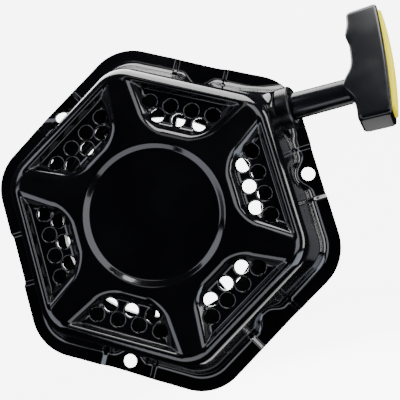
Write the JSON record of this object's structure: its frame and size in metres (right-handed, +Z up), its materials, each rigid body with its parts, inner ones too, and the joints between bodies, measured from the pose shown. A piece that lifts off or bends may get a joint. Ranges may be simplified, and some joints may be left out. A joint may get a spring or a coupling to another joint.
{
  "type": "recoil starter",
  "caption": "Pull-cord recoil starter: a stamped hexagonal cover with vented pockets holds a spring-loaded rope reel, swinging pawls and a T-shaped pull handle on a side guide.",
  "frame": {"origin": "where the crank axis meets the mounting plane of the cover's pads", "axes": "+Y along the crank axis towards the engine, -Y out of the front of the cover, +X towards the bolt hole beside the rope guide, +Z up"},
  "size_m": [0.2343, 0.0496, 0.1998],
  "materials": {
    "cover_paint": "gloss black baked enamel",
    "nylon": "moulded black nylon",
    "zinc_steel": "bright zinc plate",
    "spring_steel": "blued spring steel",
    "rope": "white braided nylon",
    "grip_plastic": "gloss black moulding",
    "yellow_plastic": "bright yellow moulding"
  },
  "bodies": {
    "housing": {"cover": "cover_paint", "rope_guide": "nylon", "guide_clip": "zinc_steel", "centre_post": "zinc_steel", "centre_bolt": "zinc_steel", "lock_washer": "zinc_steel", "thrust_washer": "zinc_steel", "rope_run": "rope"},
    "reel": {"starter_reel": "nylon", "rope_coil": "rope", "reel_knot": "rope", "recoil_spring": "spring_steel", "spring_pin": "zinc_steel", "pawl_spring_1": "spring_steel", "pawl_spring_2": "spring_steel"},
    "ratchet": {"ratchet_guide": "nylon", "friction_spring": "spring_steel"},
    "pawl_upper": {"pawl_1": "zinc_steel"},
    "pawl_lower": {"pawl_2": "zinc_steel"},
    "pull": {"rope_end": "rope", "knot_washer": "zinc_steel"},
    "handle": {"handle_grip": "grip_plastic", "handle_insert": "yellow_plastic"}
  },
  "joints": [
    {"name": "handle_pull", "type": "slide", "parent": "housing", "child": "pull", "axis": [0.9235, -0.3665, -0.1134], "range_m": [0, 1], "stiffness_N_per_m": 17, "springref_m": -0.6},
    {"name": "handle_twist", "type": "hinge", "parent": "pull", "child": "handle", "pos_m": [0.0785, -0.0157, 0.0363], "axis": [0.9235, -0.3665, -0.1134], "continuous": true},
    {"name": "reel_spin", "type": "hinge", "parent": "housing", "child": "reel", "pos_m": [0, 0, 0], "axis": [0, 1, 0], "range_deg": [0, 925]},
    {"name": "guide_turn", "type": "hinge", "parent": "reel", "child": "ratchet", "pos_m": [0, 0, 0], "axis": [0, 1, 0], "range_deg": [-30, 0], "stiffness_Nm_per_rad": 0.01, "springref_deg": 34.38},
    {"name": "pawl_upper_swing", "type": "hinge", "parent": "reel", "child": "pawl_upper", "pos_m": [0, -0.0082, 0.018], "axis": [0, 1, 0], "range_deg": [0, 38.5]},
    {"name": "pawl_lower_swing", "type": "hinge", "parent": "reel", "child": "pawl_lower", "pos_m": [0, -0.0082, -0.018], "axis": [0, 1, 0], "range_deg": [0, 38.5]}
  ],
  "couplings": [
    {"joint": "reel_spin", "follows": "handle_pull", "rad_per_m": 16.129},
    {"joint": "pawl_upper_swing", "follows": "guide_turn", "ratio": -1.2667},
    {"joint": "pawl_lower_swing", "follows": "guide_turn", "ratio": -1.2667}
  ]
}
